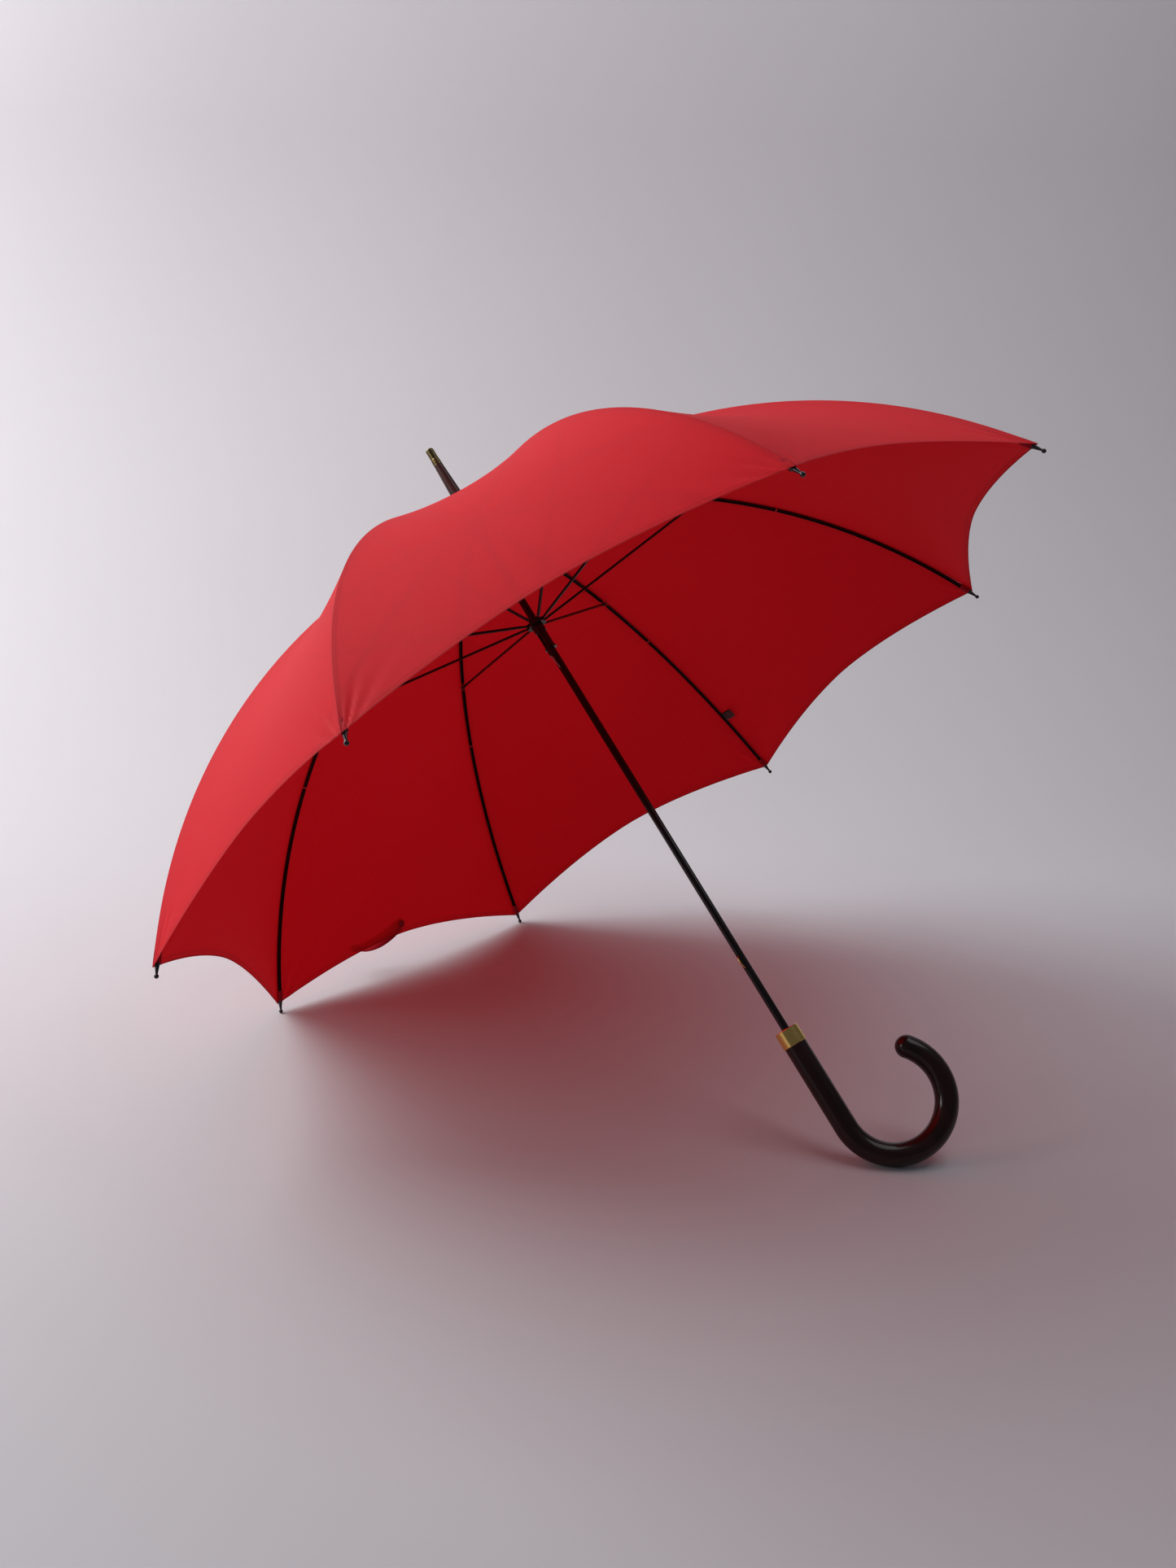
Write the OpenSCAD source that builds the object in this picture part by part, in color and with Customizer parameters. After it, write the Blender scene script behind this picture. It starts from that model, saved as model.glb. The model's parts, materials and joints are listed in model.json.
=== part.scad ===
// Stick umbrella, open and resting on the floor on two rib tips and its crook.
// Every module is drawn in the umbrella's own upright frame: the shaft is the Z axis, Z = 0 is
// the plane of the rib tips and +Z points to the ferrule. laid() then sets it on the floor.

/* [Overall] */
// Distance from the shaft's axis to each rib tip when open
tip_radius = 500; // [460:5:560]
// Height of the crown's hinge circle above the plane of the rib tips
crown_height = 304; // [290:1:320]
// Radius of the circular arc that each open rib follows
rib_bend = 570; // [550:5:620]
// Top of the brass ferrule cap above the plane of the rib tips
ferrule_top = 407.5; // [395:0.5:430]

/* [Shaft] */
// Outer diameter of the steel shaft
shaft_d = 8; // [8:0.1:8.4]
// Wall of the steel shaft
shaft_wall = 0.6; // [0.5:0.1:0.8]
// Radius of the hinge circles on the crown and on the runner
hinge_r = 9; // [9:0.1:9.5]

/* [Ribs and stretchers] */
// Width of a rib's channel section
rib_w = 3.4; // [3.2:0.1:3.6]
// Height of a rib's channel section
rib_h = 2.8; // [2.6:0.1:3]
// Width of a stretcher's channel section
stretcher_w = 2.4; // [2.2:0.1:2.6]
// Distance from the shaft's axis to the rivet of each rib when open
rivet_r = 260; // [250:1:270]
// Diameter of the ball that ends each rib tip
ball_d = 4.4; // [4:0.2:5]

/* [Canopy] */
// Thickness of the canopy cloth, with its coating and seams averaged in
cloth = 0.5; // [0.4:0.1:0.8]
// How far the cloth sags below a flat gore at mid span
gore_sag = 11.5; // [8:0.5:14]
// Depth of each scallop in the hem, measured along the rib
scallop = 24; // [16:1:32]

/* [Handle] */
// Diameter of the wooden crook
crook_d = 22.8; // [21:0.2:23]
// Radius of the crook's bend, at the middle of the wood
crook_bend = 52; // [48:1:56]
// Height of the crook's bend centre (below the plane of the rib tips)
crook_z = -420; // [-430:1:-410]
// Angle that the crook's bend turns through
crook_sweep = 221; // [200:1:225]
// Direction that the crook opens towards, seen from above
crook_turn = 72; // [60:1:85]
// Height of the brass cup's rim
cup_top = -313.5; // [-320:0.5:-305]
// Outer diameter of the brass cup
cup_d = 24.6; // [24.4:0.1:25.4]

/* [Hidden] */
RIBS = 8;
STEP = 360 / RIBS;

// Finishes
BLACK_STEEL = [0.05, 0.045, 0.05];
CANOPY_RED = [0.72, 0.09, 0.13];
BRASS = [0.72, 0.52, 0.2];
OLD_BRASS = [0.35, 0.31, 0.2];
CHERRY = [0.13, 0.03, 0.03];
STEEL = [0.6, 0.6, 0.6];

// Clearances: side gap between moving leaves, running gap round a pin, gap inside one piece
SIDE = 0.3;
RUN = 0.08;
SEAT = 0.03;
TURNED = 64;

// The rib's arc in the plane (distance from shaft, height), through the crown hinge and the tip
crown_pt = [hinge_r, crown_height];
tip_pt = [tip_radius, 0];
chord = norm(tip_pt - crown_pt);
chord_dir = (tip_pt - crown_pt) / chord;
chord_up = [-chord_dir[1], chord_dir[0]];
arc_mid = (crown_pt + tip_pt) / 2;
arc_centre = arc_mid - chord_up * sqrt(rib_bend * rib_bend - chord * chord / 4);
function bearing(p) = atan2(p[1] - arc_centre[1], p[0] - arc_centre[0]);
function on_arc(a, up = 0) = arc_centre + (rib_bend + up) * [cos(a), sin(a)];
function arc_angle(len) = len / rib_bend * 180 / PI;
crown_a = bearing(crown_pt);
tip_a = bearing(tip_pt);
rivet_a = acos((rivet_r - arc_centre[0]) / rib_bend);
rivet_pt = on_arc(rivet_a);
// The stretcher is as long as the rib's inner arm, so the runner's hinge mirrors the crown's
runner_pt = [hinge_r, 2 * rivet_pt[1] - crown_height];
arm = norm(rivet_pt - crown_pt);
arm_drop = atan2(crown_height - rivet_pt[1], rivet_r - hinge_r);

// Leaves at the rivet and the crown, in order from the middle outwards
leaf = 1.2;
cheek = 0.5;
outer_gap = leaf / 2 + SIDE;
stretcher_gap = rib_w / 2 + SIDE;
rivet_shank_r = 0.9;
rivet_head_r = 1.25;
rivet_head_t = 0.5;
rivet_head_y = stretcher_gap + cheek + SIDE;
eye_r = 1.6;
wire_r = 0.5;
wire_hole_r = 0.72;
rib_wall = 0.45;
stretcher_h = 2.2;
stretcher_wall = 0.4;
rib_neck = 6;
stretcher_neck = 10;
wire_neck = 7;

// Rib tip
tip_bare = 12;
tip_socket = 6;
ball_r = ball_d / 2;

// Crown and runner
hub_r = 10.5;
hub_below = 3.2;
hub_above = 1.4;
hub_low = crown_height - hub_below;
hub_high = crown_height + hub_above;
stem_r = 5.4;
pin_r = 0.8;
pin_length = 12;
crown_pin_z = hub_low - 3;
rosette_r = 13;
cloth_lift = rib_h / 2 + 2;
crown_cloth_z = crown_height + cloth_lift;
rosette_z = crown_cloth_z + cloth + 0.3;
rosette_t = 1;
ferrule_low = rosette_z + rosette_t + 0.1;
cap_h = 21.5;
cap_z = ferrule_top - cap_h;
shaft_top = cap_z - 8;
spigot_r = 3.2;
spigot_h = 7;
slot_w = 2 * (leaf / 2 + SIDE + 0.1);
slot_floor = 6.3;
bore_r = shaft_d / 2 + RUN;
sleeve_r = 5.5;
flange_z = runner_pt[1] - 32.6;
lip_z = flange_z - 7.5;
stop_z = runner_pt[1] + 8.5;

// Springs: direction of both blades, reach of their noses, and the height of each nose. The runner
// slides down by closed_drop when the umbrella closes
spring_turn = 290;
nose_r = 6.4;
blade_z = -38;
closed_drop = 388.5;
window_h = 16.4;
top_nose_z = lip_z - 0.8;
bottom_nose_z = runner_pt[1] - closed_drop - 15.4;

// Handle
cup_h = 17;
cup_recess = 6.5;
shaft_end = crook_z + 36;
crook_r = crook_d / 2;

// Canopy: rows of facets from the crown to the hem, and across each gore
gore_rows = 16;
gore_cols = 8;
cloth_inner_r = stem_r + 0.4;
cloth_end = tip_bare + tip_socket + 0.8;
crown_len = (crown_a - tip_a) / arc_angle(1);
top_len = (acos((cloth_inner_r - arc_centre[0]) / (rib_bend + cloth_lift)) - tip_a) / arc_angle(1);

// Closure strap, on the gore between ribs 4 and 5
strap_gore = 4;
strap_root_len = 50;
strap_end_v = 0.344;
strap_w = 16;
strap_t = 0.8;
strap_rows = 14;
strap_lift = cloth + 0.4;
strap_tilt = 75;
stud_r = 5.5;

// Lean of the shaft: the angle at which the two lowest rib tips and the crook touch one plane.
// The highest point of the hem is up_turn round from rib 8
up_turn = STEP / 2;
across = cos(crook_turn - up_turn);
function tips_low(t) = -tip_radius * cos(STEP / 2) * sin(t) - ball_r;
function crook_low(t) = crook_bend * across * sin(t) + crook_z * cos(t)
    - crook_bend * norm([across * sin(t), cos(t)]) - crook_r;
function find_lean(low, high, tries) =
    tries == 0 ? (low + high) / 2
    : let (t = (low + high) / 2)
      tips_low(t) < crook_low(t) ? find_lean(low, t, tries - 1) : find_lean(t, high, tries - 1);
lean = find_lean(20, 70, 50);
// Shift that centres the whole part over the origin, and the lift that stands it on Z = 0
centre_shift = -7;
floor_lift = -tips_low(lean);

// Sets the upright umbrella on the floor
module laid() {
    translate([centre_shift, 0, floor_lift])
        rotate([0, -lean, 0])
            rotate([0, 0, -up_turn])
                children();
}

// Turns a piece from the plane of rib 8 to the plane of rib i
module at_rib(i) {
    rotate([0, 0, STEP * i])
        children();
}

// Extrudes a flat outline, drawn as (distance from shaft, height), to a leaf of thickness t at side y
module leaf_at(y, t) {
    translate([0, y, 0])
        rotate([90, 0, 0])
            linear_extrude(height = t, center = true)
                children();
}

// A round pin or hole across the plane of a rib
module cross_pin(p, r, length) {
    translate([p[0], 0, p[1]])
        rotate([90, 0, 0])
            cylinder(h = length, r = r, center = true, $fn = TURNED);
}

// A straight bar outline from p to q of width w
module bar(p, q, w) {
    d = (q - p) / norm(q - p);
    s = [-d[1], d[0]] * w / 2;
    polygon([p + s, q + s, q - s, p - s]);
}

// Channel section, open towards the shaft side: x is out from the arc's line, y is across
module channel_section(w, h, wall) {
    translate([h / 2 - wall, -w / 2])
        square([wall, w]);
    for (side = [-1, 1])
        translate([-h / 2, side > 0 ? w / 2 - wall : -w / 2])
            square([h, wall]);
}

// The rib's channel, swept along its arc between two bearings
module rib_channel(from_a, to_a) {
    translate([arc_centre[0], 0, arc_centre[1]])
        rotate([90, 0, 0])
            rotate([0, 0, to_a])
                rotate_extrude(angle = from_a - to_a, $fn = 360)
                    translate([rib_bend, 0])
                        channel_section(rib_w, rib_h, rib_wall);
}

// Inner half of rib i: crown eye, channel, and the leaf that carries the rivet
module rib(i) {
    color(BLACK_STEEL)
        at_rib(i)
            difference() {
                union() {
                    rib_channel(crown_a - arc_angle(rib_neck), rivet_a + arc_angle(rib_neck));
                    cross_pin(crown_pt, eye_r, leaf);
                    cross_pin(rivet_pt, eye_r, leaf);
                    leaf_at(0, leaf)
                        bar(crown_pt, on_arc(crown_a - arc_angle(rib_neck + 2)), rib_h - 0.4);
                    leaf_at(0, leaf)
                        bar(rivet_pt, on_arc(rivet_a + arc_angle(rib_neck + 2)), rib_h - 0.4);
                }
                cross_pin(crown_pt, wire_hole_r, leaf + 2);
                cross_pin(rivet_pt, rivet_shank_r + SEAT, leaf + 2);
            }
}

// Outer half of rib i: two cheeks on the rivet, then the channel out to the tip's socket
module rib_outer(i) {
    cheek_y = outer_gap + cheek / 2;
    color(BLACK_STEEL)
        at_rib(i)
            difference() {
                union() {
                    rib_channel(rivet_a - arc_angle(rib_neck), tip_a + arc_angle(tip_bare));
                    for (side = [-1, 1]) {
                        leaf_at(side * cheek_y, cheek)
                            bar(rivet_pt, on_arc(rivet_a - arc_angle(rib_neck + 2)), rib_h - 0.4);
                        translate([0, side * cheek_y, 0])
                            cross_pin(rivet_pt, eye_r, cheek);
                    }
                }
                cross_pin(rivet_pt, rivet_shank_r + RUN, 2 * rib_w);
            }
}

// Rivet through rib i, its outer half and its stretcher
module rib_rivet(i) {
    color(STEEL)
        at_rib(i) {
            cross_pin(rivet_pt, rivet_shank_r, 2 * rivet_head_y);
            for (side = [-1, 1])
                translate([0, side * (rivet_head_y + rivet_head_t / 2), 0])
                    cross_pin(rivet_pt, rivet_head_r, rivet_head_t);
        }
}

// Turned metal tip of rib i: ball, neck, taper, and a socket over the rib's end
module rib_tip(i) {
    socket_r = 2.9;
    bore = 2.42;
    neck_r = 1.2;
    height = tip_bare + tip_socket;
    color(BLACK_STEEL)
        at_rib(i)
            translate([tip_pt[0], 0, tip_pt[1]])
                rotate([0, -tip_a, 0]) {
                    sphere(r = ball_r, $fn = TURNED);
                    difference() {
                        rotate_extrude($fn = TURNED)
                            polygon([
                                [0, 0], [neck_r, 0], [neck_r, 3], [2.2, 9.5], [socket_r, 11.2],
                                [socket_r, height], [0, height]
                            ]);
                        translate([0, 0, tip_bare - 0.3])
                            cylinder(h = tip_socket + 1, r = bore, $fn = TURNED);
                    }
                }
}

// Stretcher i: forked round the rib at the rivet, an eye on the runner's wire at the other end
module stretcher(i) {
    fork_y = stretcher_gap + cheek / 2;
    fork_w = 2 * (stretcher_gap + cheek);
    along = (runner_pt - rivet_pt) / arm;
    fork_pt = rivet_pt + along * stretcher_neck;
    start_pt = rivet_pt + along * (stretcher_neck + 3);
    end_pt = runner_pt - along * wire_neck;
    color(BLACK_STEEL)
        at_rib(i)
            difference() {
                union() {
                    translate([start_pt[0], 0, start_pt[1]])
                        rotate([0, -90 - arm_drop, 0])
                            translate([0, 0, -1])
                                linear_extrude(height = arm - stretcher_neck - 3 - wire_neck + 1)
                                    mirror([1, 0])
                                        channel_section(stretcher_w, stretcher_h, stretcher_wall);
                    leaf_at(0, fork_w)
                        bar(fork_pt, start_pt, stretcher_h);
                    for (side = [-1, 1]) {
                        leaf_at(side * fork_y, cheek)
                            bar(rivet_pt, fork_pt + along, stretcher_h);
                        translate([0, side * fork_y, 0])
                            cross_pin(rivet_pt, eye_r, cheek);
                    }
                    leaf_at(0, leaf)
                        bar(end_pt - along * 2, runner_pt, stretcher_h);
                    cross_pin(runner_pt, eye_r, leaf);
                }
                cross_pin(rivet_pt, rivet_shank_r + RUN, 2 * fork_w);
                cross_pin(runner_pt, wire_hole_r, leaf + 2);
            }
}

// Round bar bent to a closed ring at height z
module wire_ring(z) {
    translate([0, 0, z])
        rotate_extrude($fn = TURNED)
            translate([hinge_r, 0])
                circle(r = wire_r, $fn = TURNED);
}

// Radial slots for the eyes, and the groove that holds the wire
module hinge_cuts(z, height) {
    for (i = [0 : RIBS - 1])
        rotate([0, 0, STEP * i])
            translate([slot_floor, -slot_w / 2, z - height])
                cube([hub_r, slot_w, 2 * height]);
    difference() {
        translate([0, 0, z - wire_r - SEAT])
            cylinder(h = 2 * (wire_r + SEAT), r = hub_r + 1, $fn = TURNED);
        translate([0, 0, z - 1])
            cylinder(h = 2, r = hinge_r - wire_r - SEAT, $fn = TURNED);
    }
}

// Steel tube with a slot for each spring's nose and two pin holes
module shaft() {
    inner_r = shaft_d / 2 - shaft_wall;
    slot_h = 16.6;
    slot_t = 1.7;
    color(BLACK_STEEL)
        difference() {
            translate([0, 0, shaft_end])
                cylinder(h = shaft_top - shaft_end, d = shaft_d, $fn = TURNED);
            translate([0, 0, shaft_end - 1])
                cylinder(h = shaft_top - shaft_end + 2, r = inner_r, $fn = TURNED);
            rotate([0, 0, spring_turn]) {
                for (z = [top_nose_z, bottom_nose_z])
                    translate([0, -slot_t / 2, z + 1.1 - slot_h])
                        cube([shaft_d, slot_t, slot_h]);
            }
            for (z = [crown_pin_z, stop_z])
                cross_pin([0, z], pin_r + SEAT, 2 * shaft_d);
        }
}

// Slotted hub that is pinned to the shaft under the canopy
module crown_hub() {
    collar_r = 6.1;
    collar_h = 6;
    color(BLACK_STEEL)
        difference() {
            union() {
                translate([0, 0, hub_low])
                    cylinder(h = hub_high - hub_low, r = hub_r, $fn = TURNED);
                translate([0, 0, hub_high])
                    cylinder(h = ferrule_low - hub_high, r = stem_r, $fn = TURNED);
                translate([0, 0, hub_low - collar_h])
                    cylinder(h = collar_h, r = collar_r, $fn = TURNED);
            }
            hinge_cuts(crown_height, 5);
            translate([0, 0, hub_low - collar_h - 1])
                cylinder(h = 30, r = shaft_d / 2 + SEAT, $fn = TURNED);
            cross_pin([0, crown_pin_z], pin_r + SEAT, 3 * hub_r);
        }
}

// Wire ring that the eight ribs hinge on
module crown_wire() {
    color(STEEL)
        wire_ring(crown_height);
}

// Pin that fixes the hub to the shaft
module crown_pin() {
    color(STEEL)
        cross_pin([0, crown_pin_z], pin_r, pin_length);
}

// Cloth and cardboard disc that covers the canopy's centre, under the ferrule
module crown_rosette() {
    color(CANOPY_RED)
        translate([0, 0, rosette_z])
            difference() {
                cylinder(h = rosette_t, r = rosette_r, $fn = TURNED);
                translate([0, 0, -1])
                    cylinder(h = rosette_t + 2, r = stem_r + SEAT, $fn = TURNED);
            }
}

// Long turned spike above the canopy, with a spigot for its brass cap
module ferrule() {
    flange_h = 3;
    ferrule_flange_r = 8.6;
    ferrule_base_r = 7.7;
    ferrule_end_r = 4.85;
    color(CHERRY)
        difference() {
            union() {
                translate([0, 0, ferrule_low])
                    cylinder(h = flange_h, r = ferrule_flange_r, $fn = TURNED);
                translate([0, 0, ferrule_low + flange_h])
                    cylinder(h = cap_z - ferrule_low - flange_h, r1 = ferrule_base_r,
                             r2 = ferrule_end_r, $fn = TURNED);
                translate([0, 0, cap_z - 1])
                    cylinder(h = spigot_h + 1, r = spigot_r, $fn = TURNED);
            }
            translate([0, 0, ferrule_low - 1])
                cylinder(h = shaft_top - ferrule_low + 2, r = shaft_d / 2 + SEAT, $fn = TURNED);
        }
}

// Brass cap with two ring grooves and a straight end
module ferrule_cap() {
    low_r = 4.9;
    high_r = 4.5;
    straight_z = 8.5;
    edge = 1.2;
    groove = 0.35;
    color(OLD_BRASS)
        translate([0, 0, cap_z])
            difference() {
                rotate_extrude($fn = TURNED)
                    polygon([
                        [0, 0], [low_r, 0], [low_r, 2],
                        [low_r - groove, 2.4], [low_r - groove, 3], [low_r, 3.4], [low_r - 0.1, 5.6],
                        [low_r - groove - 0.1, 6], [low_r - groove - 0.1, 6.6], [low_r - 0.15, 7],
                        [high_r, straight_z], [high_r, cap_h - edge],
                        [high_r - 0.4, cap_h - 0.4], [high_r - edge, cap_h], [0, cap_h]
                    ]);
                translate([0, 0, -1])
                    cylinder(h = spigot_h + 1.2, r = spigot_r + SEAT, $fn = TURNED);
            }
}

// Pin across the shaft that stops the runner at the top
module runner_stop() {
    color(STEEL)
        cross_pin([0, stop_z], pin_r, pin_length);
}

// Sliding runner: slotted head, sleeve with a window for the bottom spring, flange and lip
module runner() {
    head_low = runner_pt[1] - hub_below;
    head_high = runner_pt[1] + hub_above;
    collar_h = 4;
    shoulder_h = 8;
    shoulder_r = 6.4;
    flange_r = 6.7;
    flange_h = 1.6;
    lip_arc = 100;
    window_w = 2.2;
    color(BLACK_STEEL)
        difference() {
            union() {
                translate([0, 0, head_low])
                    cylinder(h = head_high - head_low, r = hub_r, $fn = TURNED);
                translate([0, 0, head_high])
                    cylinder(h = collar_h, r = sleeve_r, $fn = TURNED);
                translate([0, 0, head_low - shoulder_h])
                    cylinder(h = shoulder_h, r = shoulder_r, $fn = TURNED);
                translate([0, 0, flange_z])
                    cylinder(h = head_low - flange_z, r = sleeve_r, $fn = TURNED);
                translate([0, 0, flange_z])
                    cylinder(h = flange_h, r = flange_r, $fn = TURNED);
                translate([0, 0, lip_z])
                    rotate([0, 0, spring_turn - lip_arc / 2])
                        rotate_extrude(angle = lip_arc, $fn = TURNED)
                            translate([bore_r, 0])
                                square([sleeve_r - bore_r, flange_z - lip_z + 0.5]);
            }
            hinge_cuts(runner_pt[1], 5);
            translate([0, 0, lip_z - 1])
                cylinder(h = 60, r = bore_r, $fn = TURNED);
            rotate([0, 0, spring_turn])
                translate([0, -window_w / 2, flange_z + 2.4])
                    cube([2 * hub_r, window_w, window_h]);
        }
}

// Wire ring that the eight stretchers hinge on
module runner_wire() {
    color(STEEL)
        wire_ring(runner_pt[1]);
}

// Spring blade under the runner: a nose through the shaft's slot, and a leg inside the tube
module top_spring() {
    color(STEEL)
        rotate([0, 0, spring_turn])
            leaf_at(0, leaf)
                translate([0, top_nose_z])
                    polygon([
                        [1.4, 0], [nose_r - 0.6, 0], [nose_r, -0.8], [nose_r - 0.4, -3], [3.5, -13.5],
                        [2.8, -15], [2.8, blade_z], [1.6, blade_z], [1.6, -14]
                    ]);
}

// Spring blade near the handle, which holds the runner when the umbrella is closed
module bottom_spring() {
    color(BRASS)
        rotate([0, 0, spring_turn])
            leaf_at(0, leaf)
                translate([0, bottom_nose_z])
                    polygon([
                        [1.4, 0], [3.6, 0], [nose_r - 1, -2.6], [nose_r - 0.7, -6], [3.5, -13.5],
                        [2.8, -15], [2.8, blade_z], [1.6, blade_z], [1.6, -14]
                    ]);
}

// Bent wooden crook: straight grip, bend and a rounded end
module handle() {
    grip_top = cup_top - cup_recess;
    color(CHERRY)
        rotate([0, 0, crook_turn])
            difference() {
                union() {
                    translate([0, 0, crook_z])
                        cylinder(h = grip_top - crook_z, r = crook_r, $fn = 96);
                    translate([crook_bend, 0, crook_z])
                        rotate([90, 0, 0])
                            rotate([0, 0, 180])
                                rotate_extrude(angle = crook_sweep, $fn = 180)
                                    translate([crook_bend, 0])
                                        circle(r = crook_r, $fn = 96);
                    translate([crook_bend, 0, crook_z])
                        rotate([0, 180 - crook_sweep, 0])
                            translate([crook_bend, 0, 0])
                                sphere(r = crook_r, $fn = 96);
                }
                translate([0, 0, shaft_end - 0.5])
                    cylinder(h = 100, r = shaft_d / 2 + SEAT, $fn = TURNED);
            }
}

// Brass cup round the top of the grip, with a raised open rim
module handle_cup() {
    rim = 0.5;
    foot = 0.3;
    color(BRASS)
        translate([0, 0, cup_top - cup_h])
            difference() {
                rotate_extrude($fn = 96)
                    polygon([
                        [0, 0], [cup_d / 2 - foot, 0], [cup_d / 2, foot],
                        [cup_d / 2, cup_h - rim], [cup_d / 2 - rim, cup_h], [0, cup_h]
                    ]);
                translate([0, 0, -1])
                    cylinder(h = cup_h + 2, r = crook_r + SEAT, $fn = 96);
            }
}

// Canopy: eight gores between the rib lines, each flat across at its ribs and sagging between.
// A point of cloth is given by its gore, its distance from the rib tip along the rib's arc, and v,
// which runs from -1 on the gore's first rib to 1 on its second
function hem_len(v) = cloth_end + scallop * (1 - pow(abs(v), 1.5));
function cloth_pt(g, len, v, up) =
    let (
        a = tip_a + arc_angle(len),
        sag = gore_sag * sin(180 * len / crown_len) * (1 - v * v),
        p = on_arc(a, cloth_lift + up),
        out = p[0] * cos(STEP / 2) - sag * cos(a),
        side = v * p[0] * sin(STEP / 2),
        turn = STEP * (g + 0.5)
    )
    [out * cos(turn) - side * sin(turn), out * sin(turn) + side * cos(turn), p[1] - sag * sin(a)];

// Splits each four-cornered face into two triangles along the same diagonal
function halved(quads) = [for (q = quads) for (t = [[q[0], q[1], q[2]], [q[0], q[2], q[3]]]) t];

module canopy() {
    cols = RIBS * gore_cols;
    rows = gore_rows + 1;
    skin = [for (up = [0, cloth]) for (r = [0 : gore_rows]) for (c = [0 : cols - 1])
        let (
            g = floor(c / gore_cols),
            v = 2 * (c - g * gore_cols) / gore_cols - 1,
            len = top_len + (hem_len(v) - top_len) * r / gore_rows
        )
        cloth_pt(g, len, v, up)];
    function id(layer, r, c) = (layer * rows + r) * cols + c % cols;
    quads = concat(
        [for (r = [0 : gore_rows - 1]) for (c = [0 : cols - 1])
            [id(0, r, c), id(0, r, c + 1), id(0, r + 1, c + 1), id(0, r + 1, c)]],
        [for (r = [0 : gore_rows - 1]) for (c = [0 : cols - 1])
            [id(1, r, c), id(1, r + 1, c), id(1, r + 1, c + 1), id(1, r, c + 1)]],
        [for (c = [0 : cols - 1]) [id(0, 0, c + 1), id(0, 0, c), id(1, 0, c), id(1, 0, c + 1)]],
        [for (c = [0 : cols - 1])
            [id(0, gore_rows, c), id(0, gore_rows, c + 1), id(1, gore_rows, c + 1), id(1, gore_rows, c)]]
    );
    color(CANOPY_RED)
        polyhedron(points = skin, faces = halved(quads));
}

// Closure strap: sewn on the outside of the gore between ribs 4 and 5, just above the hem. It runs
// along the hem, droops below it and turns on edge towards its free end
function strap_len(t) = strap_root_len - 18 * sin(90 * min(1, t / 0.8))
    + 4 * pow(max(0, t - 0.8) / 0.2, 2);
function strap_up(t) = strap_lift + 9 * t * t;
function strap_pt(t, across, up) =
    let (tilt = strap_tilt * t, s = across * strap_w / 2)
    cloth_pt(strap_gore, strap_len(t) + s * cos(tilt) - up * sin(tilt), strap_end_v * t,
             strap_up(t) + s * sin(tilt) + up * cos(tilt) + 8 * t);

module closure_strap() {
    rows = strap_rows + 1;
    corners = [[-1, 0], [1, 0], [1, strap_t], [-1, strap_t]];
    skin = [for (r = [0 : strap_rows]) for (k = corners) strap_pt(r / strap_rows, k[0], k[1])];
    function id(r, k) = r * 4 + k % 4;
    quads = concat(
        [for (r = [0 : strap_rows - 1]) for (k = [0 : 3])
            [id(r, k), id(r, k + 1), id(r + 1, k + 1), id(r + 1, k)]],
        [[id(0, 3), id(0, 2), id(0, 1), id(0, 0)]],
        [[id(strap_rows, 0), id(strap_rows, 1), id(strap_rows, 2), id(strap_rows, 3)]]
    );
    color(CANOPY_RED)
        polyhedron(points = skin, faces = halved(quads));
}

// Sets a small round piece on the cloth of the strap's gore, its axis along the cloth's normal
module on_gore(len, v, up) {
    turn = STEP * (strap_gore + 0.5);
    translate(cloth_pt(strap_gore, len, v, up))
        rotate([0, 0, turn])
            rotate([0, 90 - tip_a - arc_angle(len), 0])
                children();
}

// Half of the press stud that is set in the strap's root and the cloth: cap inside, socket outside
module snap_socket() {
    color(BLACK_STEEL)
        on_gore(strap_root_len, 0, 0) {
            translate([0, 0, -1])
                cylinder(h = 1, r = stud_r - 1, $fn = TURNED);
            cylinder(h = strap_lift + strap_t + 1, r = 2, $fn = TURNED);
            translate([0, 0, strap_lift + strap_t])
                cylinder(h = 2, r = stud_r, $fn = TURNED);
        }
}

// Other half of the press stud, on the strap's free end
module snap_stud() {
    t = 0.93;
    color(BLACK_STEEL)
        translate(strap_pt(t, 0, strap_t / 2))
            rotate([0, 0, STEP * (strap_gore + 0.5)])
                rotate([0, 90 - tip_a - arc_angle(strap_len(t)) - strap_tilt * t, 0])
                    translate([0, 0, -1.6])
                        cylinder(h = 3.8, r = stud_r, $fn = TURNED);
}

// Folded label sewn in the seam over rib 3, on its side towards rib 2
module care_tab() {
    tab_len = 14;
    tab_w = 11;
    tab_t = 0.8;
    seam_len = 93;
    a = tip_a + arc_angle(seam_len);
    color(BLACK_STEEL)
        at_rib(3)
            translate([on_arc(a)[0], 0, on_arc(a)[1]])
                rotate([0, 90 - a, 0])
                    rotate([22, 0, 0])
                        translate([-tab_len, -rib_w / 2 - 1.2 - tab_w, -2.4])
                            cube([tab_len, tab_w, tab_t]);
}

laid() shaft();
laid() crown_hub();
laid() crown_wire();
laid() crown_pin();
laid() crown_rosette();
laid() ferrule();
laid() ferrule_cap();
laid() runner_stop();
laid() runner();
laid() runner_wire();
laid() top_spring();
laid() bottom_spring();
laid() handle();
laid() handle_cup();
laid() canopy();
laid() closure_strap();
laid() snap_stud();
laid() snap_socket();
laid() care_tab();
for (i = [1 : RIBS]) {
    laid() rib(i);
    laid() rib_outer(i);
    laid() rib_rivet(i);
    laid() rib_tip(i);
    laid() stretcher(i);
}
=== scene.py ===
import json
import math

import bpy
import numpy as np
from mathutils import Matrix, Vector


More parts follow.
